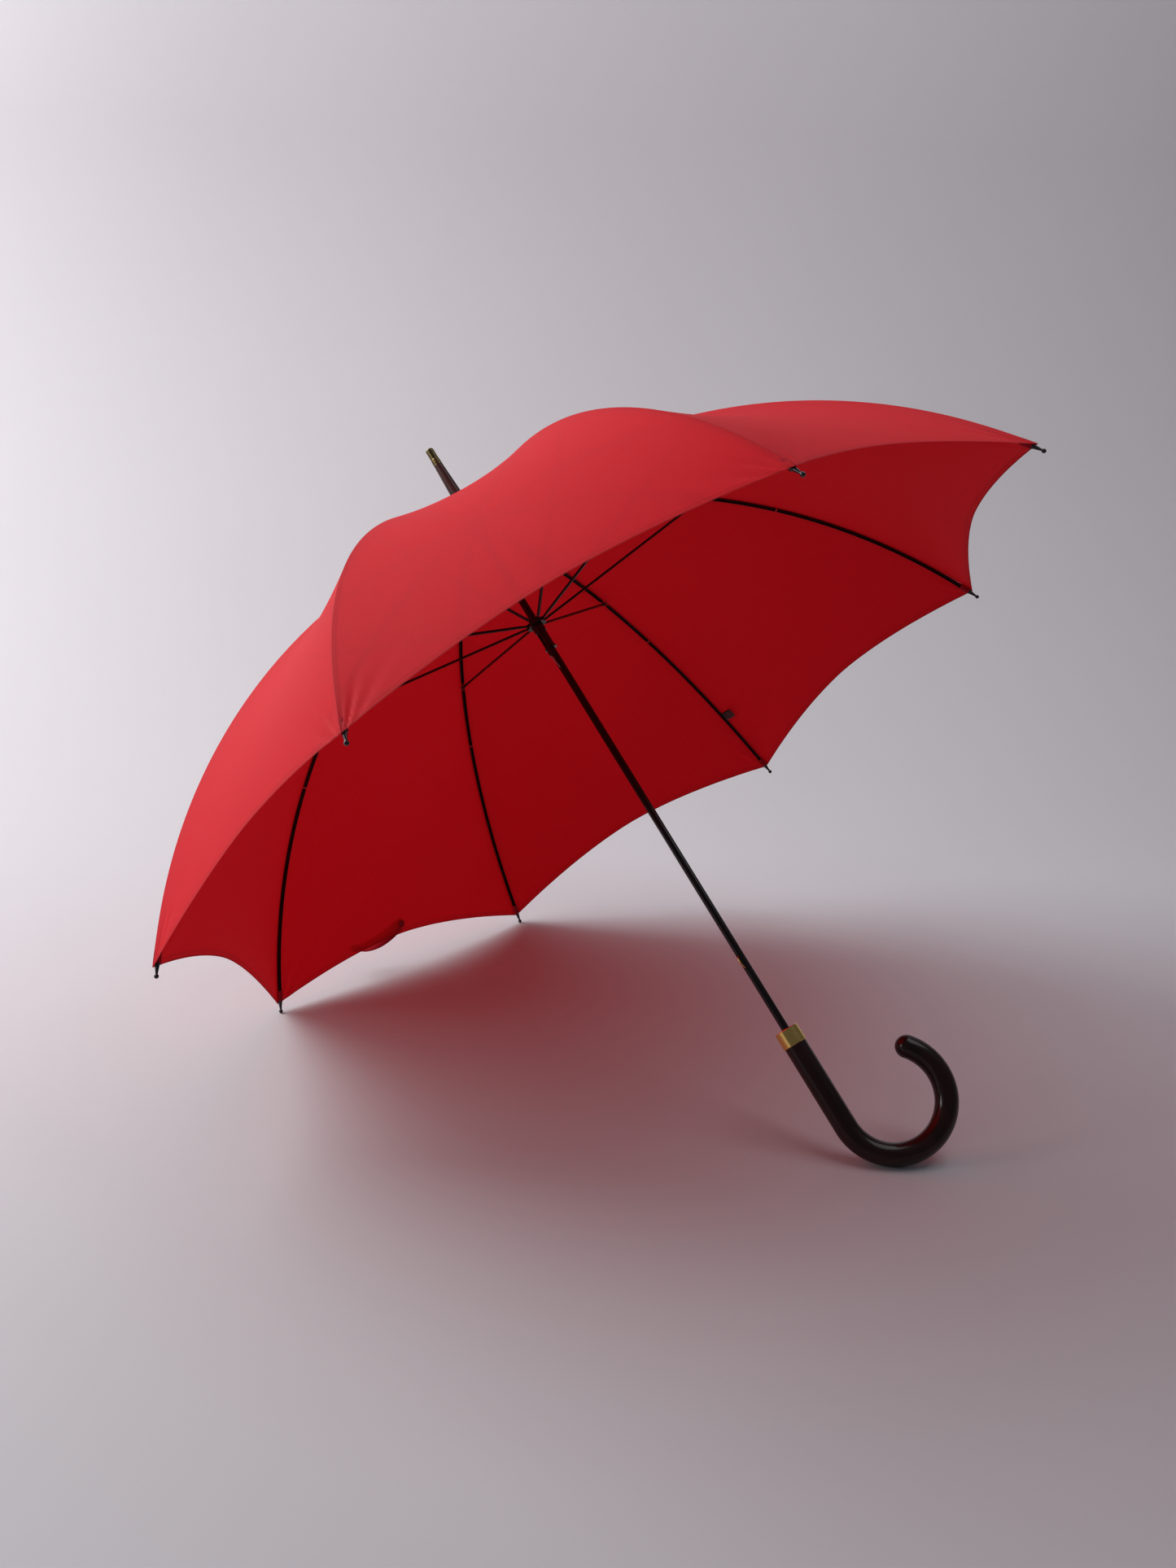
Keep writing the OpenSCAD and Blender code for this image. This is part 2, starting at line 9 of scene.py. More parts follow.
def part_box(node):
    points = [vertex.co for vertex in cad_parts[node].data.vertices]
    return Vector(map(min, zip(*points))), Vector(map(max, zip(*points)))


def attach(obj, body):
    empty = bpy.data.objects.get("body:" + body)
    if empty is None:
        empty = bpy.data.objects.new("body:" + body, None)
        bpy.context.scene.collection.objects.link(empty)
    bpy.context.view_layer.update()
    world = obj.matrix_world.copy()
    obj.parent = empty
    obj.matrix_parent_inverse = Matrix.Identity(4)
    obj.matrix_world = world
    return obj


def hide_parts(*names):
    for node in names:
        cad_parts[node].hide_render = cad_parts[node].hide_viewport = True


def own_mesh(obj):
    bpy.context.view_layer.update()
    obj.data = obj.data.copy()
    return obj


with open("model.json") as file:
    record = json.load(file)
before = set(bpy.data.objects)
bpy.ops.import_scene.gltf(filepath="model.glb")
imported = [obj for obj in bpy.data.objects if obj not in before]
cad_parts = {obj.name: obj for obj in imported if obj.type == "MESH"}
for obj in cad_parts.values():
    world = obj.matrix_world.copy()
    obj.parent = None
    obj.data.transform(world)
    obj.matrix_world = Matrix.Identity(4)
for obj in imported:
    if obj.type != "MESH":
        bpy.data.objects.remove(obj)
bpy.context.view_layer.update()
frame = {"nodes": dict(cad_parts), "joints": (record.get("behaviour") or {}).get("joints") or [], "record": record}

# The umbrella, in metres and degrees. Its own frame has the shaft as Z and Z = 0 at the rib tips.
RIBS = 8
STEP = 360 / RIBS
TIP_RADIUS = 0.500
CROWN_HEIGHT = 0.304
HINGE_RADIUS = 0.009
RIB_BEND = 0.570
RIVET_RADIUS = 0.260

# The cloth
CLOTH_LIFT = 0.0031
CLOTH_TOP_RADIUS = 0.0058
GORE_SAG = 0.0115
HEM_AT_RIB = 0.0078
SCALLOP = 0.0305
SCALLOP_SHAPE = 1.75
HEM_TURN = 0.0065
HEM_LIFT = 0.0009
HEM_LIFT_REACH = 0.02
# Creases at each tip: bearing from the rib, width in bearing, depth, and reach from the tip
CREASES = [
    (0.09, 0.055, 0.0009, 0.034),
    (0.34, 0.09, 0.0015, 0.048),
    (0.78, 0.2, 0.0007, 0.058),
]
CREASE_FADE_IN = 0.02
THREAD_PITCH = 0.00075
STITCH_WAVE = 2400
STITCH_GAP = -0.35

# The closure strap and the label
STRAP_RIB = 5
STRAP_GORE = 4
STRAP_ROOT = 0.050
STRAP_END_V = 0.344
STRAP_WIDTH = 0.016
STRAP_THICK = 0.0009
STRAP_TURN = 75
STUD_AT = 0.93
LABEL_RIB = 3
LABEL_FROM_TIP = 0.099

# The thread ties and the tip pockets, by distance from the tip
TIE_SHARE = 0.5776
POCKET_START = 0.0118
POCKET_END = 0.0228
POCKET_RADIUS = 0.00312
POCKET_FLARE = 0.0002

# The camera
CAMERA_PLACE = (0.9531, -1.1256, 0.7613)
CAMERA_AIM = (-0.0293, -0.0242, 0.3047)
CAMERA_ROLL = 1.65
CAMERA_LENS = 34.8


def unit(v):
    """The vector at length 1."""
    return v / np.linalg.norm(v)


def umbrella_axes(joints):
    """Origin and axes of the umbrella's own frame, from the eight hinges at its crown."""
    named = {j["name"]: j for j in joints}
    hinges = [named["canopy_fold"]] + [named[f"rib_{i}_fold"] for i in range(2, RIBS + 1)]
    places = np.array([h["pos_m"] for h in hinges])
    centre = places.mean(axis=0)
    out = unit(places[-1] - centre)
    side = unit(np.array(hinges[-1]["axis"]))
    up = np.cross(out, side)
    return centre - up * CROWN_HEIGHT, np.column_stack([out, side, up])


ORIGIN, AXES = umbrella_axes(frame["joints"])


def to_row(points):
    """Points of the umbrella's own frame in the row frame."""
    return np.asarray(points, float) @ AXES.T + ORIGIN


def along(direction):
    """A direction of the umbrella's own frame in the row frame."""
    return AXES @ np.asarray(direction, float)


def shaft_matrix():
    """The umbrella's own frame as a 4 x 4 matrix."""
    return Matrix([list(row) + [o] for row, o in zip(AXES, ORIGIN)] + [[0, 0, 0, 1]])


# The arc that every rib follows, in its own plane
crown_pt = np.array([HINGE_RADIUS, CROWN_HEIGHT])
tip_pt = np.array([TIP_RADIUS, 0.0])
chord = tip_pt - crown_pt
chord_up = unit(np.array([-chord[1], chord[0]]))
arc_centre = (crown_pt + tip_pt) / 2 - chord_up * math.sqrt(RIB_BEND**2 - chord @ chord / 4)
TIP_BEARING = math.atan2(tip_pt[1] - arc_centre[1], tip_pt[0] - arc_centre[0])
CROWN_BEARING = math.atan2(crown_pt[1] - arc_centre[1], crown_pt[0] - arc_centre[0])
RIVET_BEARING = math.acos((RIVET_RADIUS - arc_centre[0]) / RIB_BEND)
RIB_LENGTH = (CROWN_BEARING - TIP_BEARING) * RIB_BEND
RIVET_LENGTH = (RIVET_BEARING - TIP_BEARING) * RIB_BEND
TOP_LENGTH = (
    math.acos((CLOTH_TOP_RADIUS - arc_centre[0]) / (RIB_BEND + CLOTH_LIFT)) - TIP_BEARING
) * RIB_BEND
HEM_SPLIT = (RIVET_LENGTH + HEM_AT_RIB) / 2


def hem_length(v):
    """Distance of the hem from the tip's circle, along the rib's arc."""
    return HEM_AT_RIB + SCALLOP * (1 - np.abs(v) ** SCALLOP_SHAPE)


def gathers(length, v):
    """Small creases that fan out from each rib's tip, where the cloth is tied down."""
    half_width = TIP_RADIUS * math.sin(math.radians(STEP / 2))
    bearing = (1 - np.abs(v)) * half_width / (length + 0.006)
    dent = 0.0
    for place, width, depth, reach in CREASES:
        place = place * (1 + 0.15 * np.sign(v))
        fade = np.exp(-((length / reach) ** 3))
        fade = fade * np.minimum(1, np.abs(length) / CREASE_FADE_IN)
        dent = dent - depth * np.exp(-(((bearing - place) / width) ** 2)) * fade
    return dent


def cloth_own(gore, length, v, up=0.0):
    """Cloth in the umbrella's own frame: gore g lies between ribs g and g + 1, at v -1 and 1."""
    bearing = TIP_BEARING + length / RIB_BEND
    sag = GORE_SAG * np.sin(np.pi * np.clip(length / RIB_LENGTH, 0, 1)) * (1 - v * v)
    near_tip = np.exp(-((length - HEM_AT_RIB) / HEM_LIFT_REACH) ** 2)
    lift = CLOTH_LIFT + up + HEM_LIFT * near_tip * np.abs(v) ** 8
    lift = lift + gathers(length, v)
    reach = RIB_BEND + lift
    r = arc_centre[0] + reach * np.cos(bearing)
    z = arc_centre[1] + reach * np.sin(bearing)
    half = math.radians(STEP / 2)
    turn = np.radians(STEP * (gore + 0.5))
    out = r * math.cos(half) - sag * np.cos(bearing)
    side = v * r * math.sin(half)
    return np.stack(
        [
            out * np.cos(turn) - side * np.sin(turn),
            out * np.sin(turn) + side * np.cos(turn),
            z - sag * np.sin(bearing),
        ],
        axis=-1,
    )


def cloth_normal(gore, length, v):
    """Outward normal of the cloth, in the row frame."""
    step = 0.0004
    along_len = cloth_own(gore, length + step, v) - cloth_own(gore, length - step, v)
    across = cloth_own(gore, length, v + step) - cloth_own(gore, length, v - step)
    n = np.cross(across, along_len)
    n /= np.maximum(np.linalg.norm(n, axis=-1, keepdims=True), 1e-12)
    return n @ AXES.T


def new_object(name, verts, faces, material, uvs=None):
    """A smooth mesh object in the row frame. uvs has one pair for each vertex."""
    mesh = bpy.data.meshes.new(name)
    mesh.from_pydata([tuple(v) for v in verts], [], [tuple(f) for f in faces])
    if uvs is not None:
        layer = mesh.uv_layers.new(name="UVMap")
        loops = np.zeros(len(mesh.loops), np.int32)
        mesh.loops.foreach_get("vertex_index", loops)
        layer.data.foreach_set("uv", np.asarray(uvs, np.float32)[loops].ravel())
    mesh.polygons.foreach_set("use_smooth", [True] * len(mesh.polygons))
    mesh.materials.append(material)
    mesh.update()
    made = bpy.data.objects.new(name, mesh)
    bpy.context.scene.collection.objects.link(made)
    return made


def grid_faces(rows, cols, closed=False):
    """Faces of a grid of points, rows by cols, that may close on itself across."""
    faces = []
    last = cols if closed else cols - 1
    for r in range(rows - 1):
        for c in range(last):
            d = (c + 1) % cols
            faces.append((r * cols + c, (r + 1) * cols + c, (r + 1) * cols + d, r * cols + d))
    return faces


# ---------------------------------------------------------------- materials


class Nodes:
    """Short calls for building a material's node tree."""

    def __init__(self, name):
        self.material = bpy.data.materials.new(name)
        self.material.use_nodes = True
        self.tree = self.material.node_tree
        self.tree.nodes.clear()
        self.out = self.add("ShaderNodeOutputMaterial")

    def add(self, kind, **inputs):
        node = self.tree.nodes.new(kind)
        for key, value in inputs.items():
            self.put(node, key.replace("_", " "), value)
        return node

    def put(self, node, socket, value):
        if isinstance(value, bpy.types.NodeSocket):
            self.tree.links.new(value, node.inputs[socket])
        else:
            node.inputs[socket].default_value = value

    def coordinates(self, frame_object=None, kind="Object"):
        node = self.add("ShaderNodeTexCoord")
        if frame_object:
            node.object = frame_object
        return node.outputs[kind]

    def mapped(self, vector, scale=(1, 1, 1), rotation=(0, 0, 0)):
        node = self.add("ShaderNodeMapping")
        self.put(node, "Vector", vector)
        node.inputs["Scale"].default_value = scale
        node.inputs["Rotation"].default_value = rotation
        return node.outputs["Vector"]

    def noise(self, vector, scale, detail=4, roughness=0.55):
        node = self.add("ShaderNodeTexNoise", Scale=scale, Detail=detail, Roughness=roughness)
        self.put(node, "Vector", vector)
        return node.outputs["Fac"]

    def mix(self, fac, a, b, mode="MIX"):
        node = self.tree.nodes.new("ShaderNodeMix")
        node.data_type = "RGBA"
        node.blend_type = mode
        self.put(node, 0, fac)
        self.put(node, 6, a if isinstance(a, bpy.types.NodeSocket) else (*a, 1))
        self.put(node, 7, b if isinstance(b, bpy.types.NodeSocket) else (*b, 1))
        return node.outputs[2]

    def math(self, operation, a, b=0.0, c=0.0):
        node = self.tree.nodes.new("ShaderNodeMath")
        node.operation = operation
        self.put(node, 0, a)
        self.put(node, 1, b)
        self.put(node, 2, c)
        return node.outputs[0]

    def remap(self, value, low, high, to_low, to_high):
        node = self.tree.nodes.new("ShaderNodeMapRange")
        node.clamp = True
        self.put(node, 0, value)
        for socket, number in zip((1, 2, 3, 4), (low, high, to_low, to_high)):
            node.inputs[socket].default_value = number
        return node.outputs[0]

    def bump(self, height, distance, strength=1.0):
        node = self.add("ShaderNodeBump", Strength=strength, Distance=distance)
        self.put(node, "Height", height)
        return node.outputs["Normal"]

    def finish(self, shader):
        self.tree.links.new(shader, self.out.inputs["Surface"])
        return self.material


def metal(
    name, color, roughness, metallic=1.0, coat=0.0, worn=None, brush=(40, 40, 40), where=None,
    specular=0.5, relief=0.5,
):
    """Metal or enamel with fine brushing, faint smudges and slightly worn patches at random."""
    n = Nodes(name)
    place = n.coordinates(where)
    brushed = n.noise(n.mapped(place, scale=brush), 60, detail=3)
    smudge = n.noise(place, 22, detail=5)
    tone = n.mix(n.remap(smudge, 0.35, 0.75, 0, 1), color, worn or [c * 1.35 for c in color])
    rough = n.math("ADD", n.remap(smudge, 0.3, 0.7, -0.05, 0.07), roughness)
    rough = n.math("ADD", n.remap(brushed, 0.3, 0.7, -0.03, 0.05), rough)
    shader = n.add("ShaderNodeBsdfPrincipled", Metallic=metallic)
    n.put(shader, "Base Color", tone)
    n.put(shader, "Roughness", rough)
    shader.inputs["Coat Weight"].default_value = coat
    shader.inputs["Coat Roughness"].default_value = 0.12
    shader.inputs["Specular IOR Level"].default_value = specular
    n.put(shader, "Normal", n.bump(brushed, 0.00004, relief))
    return n.finish(shader.outputs["BSDF"])


def lacquered_wood(name, dark, light, where, stretch):
    """Stained wood with its grain along the shaft, under gloss lacquer."""
    n = Nodes(name)
    place = n.coordinates(where)
    drawn = n.mapped(place, scale=stretch)
    grain = n.noise(drawn, 46, detail=7, roughness=0.65)
    figure = n.noise(n.mapped(place, scale=(1, 1, 0.25)), 16, detail=3)
    pores = n.noise(n.mapped(place, scale=(1, 1, 0.06)), 900, detail=2)
    tone = n.mix(n.remap(grain, 0.36, 0.66, 0, 1), dark, light)
    tone = n.mix(n.remap(figure, 0.35, 0.7, 0, 0.6), tone, dark)
    shader = n.add("ShaderNodeBsdfPrincipled")
    n.put(shader, "Base Color", tone)
    n.put(shader, "Roughness", n.remap(pores, 0.35, 0.7, 0.3, 0.46))
    shader.inputs["Specular IOR Level"].default_value = 0.15
    shader.inputs["Coat Weight"].default_value = 0.4
    shader.inputs["Coat Roughness"].default_value = 0.09
    height = n.math("MULTIPLY_ADD", pores, 0.6, n.math("MULTIPLY", figure, 0.5))
    n.put(shader, "Normal", n.bump(height, 0.00012, 0.35))
    n.put(shader, "Coat Normal", n.bump(n.noise(place, 30, detail=2), 0.0006, 0.25))
    return n.finish(shader.outputs["BSDF"])


def canopy_cloth(name, face, glow, hem=True, through=0.135, open_weave=0.15):
    """Fine woven cloth: through is the share of light it scatters to its other side, open_weave the
    share that passes straight. UV is in metres, across from the rib and in from the hem. With hem,
    the cloth has a turned hem and a felled seam at the rib, both stitched, and painted shade: a dark line along
    the hem's rim."""
    n = Nodes(name)
    uv = n.coordinates(kind="UV")
    split = n.add("ShaderNodeSeparateXYZ")
    n.put(split, "Vector", uv)
    across, inward = split.outputs["X"], split.outputs["Y"]
    threads = 2 * math.pi / THREAD_PITCH
    warp = n.math("SINE", n.math("MULTIPLY", across, threads))
    weft = n.math("SINE", n.math("MULTIPLY", inward, threads))
    weave = n.math("MULTIPLY", warp, weft)
    slub = n.noise(n.mapped(uv, scale=(900, 60, 1)), 1.0, detail=3)
    slub_b = n.noise(n.mapped(uv, scale=(60, 900, 1)), 1.0, detail=3)
    uneven = n.noise(n.mapped(uv, scale=(9, 7, 1)), 1.0, detail=3)
    tone = n.mix(n.remap(slub, 0.3, 0.7, 0, 0.5), face, [c * 0.82 for c in face])
    tone = n.mix(n.remap(slub_b, 0.3, 0.7, 0, 0.4), tone, [c * 1.12 for c in face])
    tone = n.mix(n.remap(uneven, 0.3, 0.7, 0, 0.35), tone, [c * 0.9 for c in face])
    inner = n.mix(n.remap(slub, 0.3, 0.7, 0, 0.3), glow, [c * 0.8 for c in glow])
    height = n.math("MULTIPLY_ADD", weave, 0.35, n.math("ADD", slub, slub_b))
    if hem:
        doubled = n.remap(inward, HEM_TURN, HEM_TURN + 0.0004, 1, 0)
        # edge masks painted shade: a dark line along the hem's rim, standing in for the shade of the rolled edge
        edge = n.remap(inward, 0.0011, 0.0019, 1, 0)
        stitch_line = n.math("COMPARE", inward, HEM_TURN - 0.0012, 0.0003)
        wave = n.math("SINE", n.math("MULTIPLY", across, STITCH_WAVE))
        stitches = n.math("GREATER_THAN", wave, STITCH_GAP)
        stitch = n.math("MULTIPLY", stitch_line, stitches)
        tone = n.mix(n.math("MULTIPLY", doubled, 0.12), tone, [c * 0.62 for c in face])
        tone = n.mix(n.math("MULTIPLY", stitch, 0.55), tone, [c * 0.4 for c in face])
        # painted shade: the hem's rim darkened on the outer face
        tone = n.mix(n.math("MULTIPLY", edge, 0.55), tone, [c * 0.22 for c in face])
        inner = n.mix(n.math("MULTIPLY", doubled, 0.5), inner, [c * 0.4 for c in glow])
        # painted shade: the hem's rim darkened much more in the light that passes to the inner side
        inner = n.mix(n.math("MULTIPLY", edge, 0.9), inner, [c * 0.12 for c in glow])
        height = n.math("ADD", height, n.math("MULTIPLY", doubled, 1.6))
        height = n.math("SUBTRACT", height, n.math("MULTIPLY", stitch, 1.4))
        seam = n.remap(across, 0.0004, 0.0012, 1, 0)
        felled = n.remap(across, 0.0036, 0.0042, 1, 0)
        sewn_line = n.math("COMPARE", across, 0.0030, 0.0003)
        wave = n.math("SINE", n.math("MULTIPLY", inward, STITCH_WAVE))
        sewn = n.math("MULTIPLY", sewn_line, n.math("GREATER_THAN", wave, STITCH_GAP))
        tone = n.mix(n.math("MULTIPLY", seam, 0.45), tone, [c * 0.45 for c in face])
        tone = n.mix(n.math("MULTIPLY", sewn, 0.4), tone, [c * 0.5 for c in face])
        inner = n.mix(n.math("MULTIPLY", felled, 0.45), inner, [c * 0.45 for c in glow])
        height = n.math("ADD", height, n.math("MULTIPLY", felled, 1.2))
        pulled_in = n.math("ADD", seam, sewn)
        height = n.math("SUBTRACT", height, n.math("MULTIPLY", pulled_in, 1.6))
    normal = n.bump(height, 0.00006, 0.55)
    front = n.add("ShaderNodeBsdfPrincipled", Roughness=0.62)
    n.put(front, "Base Color", tone)
    front.inputs["Specular IOR Level"].default_value = 0.1
    front.inputs["Sheen Weight"].default_value = 0.04
    front.inputs["Sheen Roughness"].default_value = 0.5
    front.inputs["Sheen Tint"].default_value = (1.0, 0.42, 0.48, 1)
    n.put(front, "Normal", normal)
    back = n.add("ShaderNodeBsdfTranslucent")
    n.put(back, "Color", inner)
    both = n.add("ShaderNodeMixShader")
    both.inputs[0].default_value = through
    n.tree.links.new(front.outputs["BSDF"], both.inputs[1])
    n.tree.links.new(back.outputs["BSDF"], both.inputs[2])
    straight = n.add("ShaderNodeBsdfTransparent")
    n.put(straight, "Color", (1.0, 0.01, 0.02, 1))
    sheer = n.add("ShaderNodeMixShader")
    sheer.inputs[0].default_value = open_weave
    n.tree.links.new(both.outputs[0], sheer.inputs[1])
    n.tree.links.new(straight.outputs["BSDF"], sheer.inputs[2])
    return n.finish(sheer.outputs[0])


def satin_label(name, color):
    """Ribbed satin ribbon."""
    n = Nodes(name)
    uv = n.coordinates(kind="UV")
    ribbed = n.noise(n.mapped(uv, scale=(2200, 200, 1)), 1.0, detail=2)
    shader = n.add("ShaderNodeBsdfPrincipled", Roughness=0.42)
    n.put(shader, "Base Color", n.mix(ribbed, color, [c * 2.2 for c in color]))
    shader.inputs["Sheen Weight"].default_value = 0.3
    n.put(shader, "Normal", n.bump(ribbed, 0.0001, 0.6))
    return n.finish(shader.outputs["BSDF"])


def paper_floor(name, color):
    """Matt background paper with a faint mottle."""
    n = Nodes(name)
    place = n.coordinates()
    mottled = n.noise(place, 1.3, detail=4)
    fine = n.noise(place, 420, detail=2)
    shader = n.add("ShaderNodeBsdfPrincipled", Roughness=0.62)
    tone = n.mix(n.remap(mottled, 0.3, 0.7, 0, 1), color, [c * 0.97 for c in color])
    n.put(shader, "Base Color", tone)
    shader.inputs["Specular IOR Level"].default_value = 0.3
    n.put(shader, "Normal", n.bump(fine, 0.0002, 0.15))
    return n.finish(shader.outputs["BSDF"])


shaft_frame = bpy.data.objects.new("shaft_frame", None)
bpy.context.scene.collection.objects.link(shaft_frame)
shaft_frame.matrix_world = shaft_matrix()

CLOTH = canopy_cloth("canopy_cloth", (0.72, 0.014, 0.024), (0.60, 0.0005, 0.002))
CLOTH_PLAIN = canopy_cloth(
    "cloth_plain", (0.50, 0.016, 0.034), (0.6, 0.002, 0.005), hem=False, through=0.3, open_weave=0.0
)
THREAD = canopy_cloth(
    "red_thread", (0.62, 0.05, 0.07), (0.4, 0.01, 0.01), hem=False, through=0.1, open_weave=0.0
)
MATERIALS = {
    "frame_steel": metal(
        "frame_steel", (0.008, 0.003, 0.004), 0.36, 0.1, coat=0.08, where=shaft_frame, specular=0.2
    ),
    "shaft_black": metal(
        "shaft_black", (0.008, 0.003, 0.004), 0.2, 0.1, coat=0.25, brush=(60, 60, 4),
        where=shaft_frame, specular=0.25,
    ),
    "black_fitting": metal(
        "black_fitting", (0.012, 0.007, 0.008), 0.28, 0.2, coat=0.25, where=shaft_frame, specular=0.3
    ),
    "bright_steel": metal("bright_steel", (0.42, 0.42, 0.43), 0.3, where=shaft_frame),
    "tip_metal": metal(
        "tip_metal", (0.020, 0.016, 0.018), 0.17, 0.5, coat=0.35, where=shaft_frame, specular=0.4
    ),
    "snap_black": metal("snap_black", (0.012, 0.012, 0.012), 0.3, 0.4, coat=0.4, where=shaft_frame),
    "cherry_lacquer": lacquered_wood(
        "cherry_lacquer", (0.009, 0.0022, 0.0018), (0.034, 0.0065, 0.005), shaft_frame, (1, 1, 0.09)
    ),
    "ferrule_wood": lacquered_wood(
        "ferrule_wood", (0.035, 0.010, 0.009), (0.095, 0.026, 0.020), shaft_frame, (1, 1, 0.09)
    ),
    "polished_brass": metal(
        "polished_brass", (0.86, 0.55, 0.13), 0.13, worn=(0.95, 0.66, 0.22), brush=(4, 4, 70),
        where=shaft_frame, relief=0.08,
    ),
    "antique_brass": metal(
        "antique_brass", (0.085, 0.062, 0.026), 0.26, worn=(0.20, 0.15, 0.07), brush=(4, 4, 70),
        where=shaft_frame,
    ),
    "label_cloth": satin_label("label_cloth", (0.012, 0.011, 0.012)),
    "canopy_red": CLOTH_PLAIN,
}


def dress_frame():
    """Gives every CAD node the material of its slot, and the ferrule its own lighter wood."""
    slots = {s["node"]: s["material_slot"] for s in frame["record"]["subparts"]}
    for name, node in frame["nodes"].items():
        material = MATERIALS["ferrule_wood" if name == "ferrule" else slots[name]]
        node.data.materials.clear()
        node.data.materials.append(material)


# ---------------------------------------------------------------- canopy


def canopy_panel(name, rib, side, top, low, body):
    """Half a gore, on one side of a rib, between two distances from the tip (low None is the hem)."""
    rows, cols = (44 if low is None else 16), 40
    gore = rib if side > 0 else rib - 1
    v = np.linspace(0, 1, cols) ** 1.7 - 1
    v = v if side > 0 else -v[::-1]
    t = np.linspace(0, 1, rows)
    low_line = hem_length(v) if low is None else np.full(cols, low)
    length = top + (low_line[None, :] - top) * t[:, None]
    across = np.broadcast_to(v[None, :], length.shape)
    points = to_row(cloth_own(float(gore), length, across))
    normals = cloth_normal(float(gore), length, across)
    reach = np.linalg.norm(points - points[:, -1 if side < 0 else 0][:, None], axis=-1)
    uv = np.stack([reach, length - hem_length(across)], axis=-1)
    faces = grid_faces(rows, cols)
    panel = new_object(name, points.reshape(-1, 3), faces, CLOTH, uv.reshape(-1, 2))
    panel.data.normals_split_custom_set_from_vertices([tuple(n) for n in normals.reshape(-1, 3)])
    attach(panel, body)

    end = HEM_AT_RIB if low is None else low
    pleat(panel, rib, side, top, end)
    return panel


def pleat(piece, rib, side, top, end):
    """Works out the line of its rib and the outward side for a pleat, and gives the piece its own mesh; it does
    not fold the cloth.
    """
    ends = [rib_line(rib, top), rib_line(rib, end)]
    middle = rib_line(rib, (top + end) / 2)
    turn = math.radians(STEP * rib)
    sideways = along([-math.sin(turn), math.cos(turn), 0]) * side
    outward = np.cross(sideways, unit(ends[1] - ends[0]))
    if outward @ (middle - ORIGIN) < 0:
        outward = -outward
    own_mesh(piece)


def rib_line(rib, length, up=0.0):
    """Point in the row frame on rib i's own arc, at a distance from its tip."""
    bearing = TIP_BEARING + length / RIB_BEND
    turn = math.radians(STEP * rib)
    r = arc_centre[0] + (RIB_BEND + CLOTH_LIFT + up) * math.cos(bearing)
    z = arc_centre[1] + (RIB_BEND + CLOTH_LIFT + up) * math.sin(bearing)
    return to_row([r * math.cos(turn), r * math.sin(turn), z])


def build_canopy():
    """Two sides of every rib, each in three parts."""
    for rib in range(1, RIBS + 1):
        for side, word in ((1, "left"), (-1, "right")):
            spans = [
                ("crown", TOP_LENGTH, RIVET_LENGTH, f"rib_{rib}"),
                ("middle", RIVET_LENGTH, HEM_SPLIT, f"rib_outer_{rib}"),
                ("hem", HEM_SPLIT, None, f"rib_outer_{rib}"),
            ]
            for part, top, low, body in spans:
                name = f"canopy_{rib}_{word}_{part}"
                canopy_panel(name, rib, side, top, low, body)
    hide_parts("canopy")


# ---------------------------------------------------------------- cloth trim


def turned(name, place, axis, profile, material, steps=40):
    """A round piece: profile is a list of (radius, height) along the axis."""
    axis = unit(np.asarray(axis, float))
    side = unit(np.cross(axis, [0.31, 0.52, 0.79]))
    other = np.cross(axis, side)
    verts, uvs = [], []
    for r, h in profile:
        for k in range(steps):
            a = 2 * math.pi * k / steps
            around = side * math.cos(a) + other * math.sin(a)
            verts.append(place + axis * h + around * max(r, 0.00002))
            uvs.append((r * math.cos(a), r * math.sin(a)))
    return new_object(name, verts, grid_faces(len(profile), steps, closed=True), material, uvs)


def button_profile(radius, height, edge=0.0005):
    """A pressed metal cap with a rolled edge and a shallow dish."""
    return [
        (0, 0), (radius - edge, 0), (radius, edge * 0.7), (radius, height - edge),
        (radius - edge * 0.4, height - edge * 0.2), (radius - edge * 1.4, height),
        (radius * 0.62, height - edge * 0.5), (radius * 0.55, height - edge * 1.1),
        (0, height - edge * 1.2),
    ]


def strap_own(t, s, up):
    """Point of the closure strap: t runs from its sewn root to its free end, s is across it."""
    droop = 0.0165 * math.sin(math.pi / 2 * min(1, t / 0.8))
    length = STRAP_ROOT - droop + 0.004 * max(0, (t - 0.8) / 0.2) ** 2
    tilt = math.radians(STRAP_TURN * t)
    rise = 0.0009 + 0.009 * t * t + 0.008 * t
    return cloth_own(
        float(STRAP_GORE),
        np.float64(length + s * math.cos(tilt) - up * math.sin(tilt)),
        np.float64(STRAP_END_V * t),
        np.float64(rise + s * math.sin(tilt) + up * math.cos(tilt)),
    )


def strap_pleat(piece):
    """Passes a piece of the strap to pleat, with the hem part that it is sewn to; it is not folded."""
    pleat(piece, STRAP_RIB, -1, HEM_SPLIT, HEM_AT_RIB)


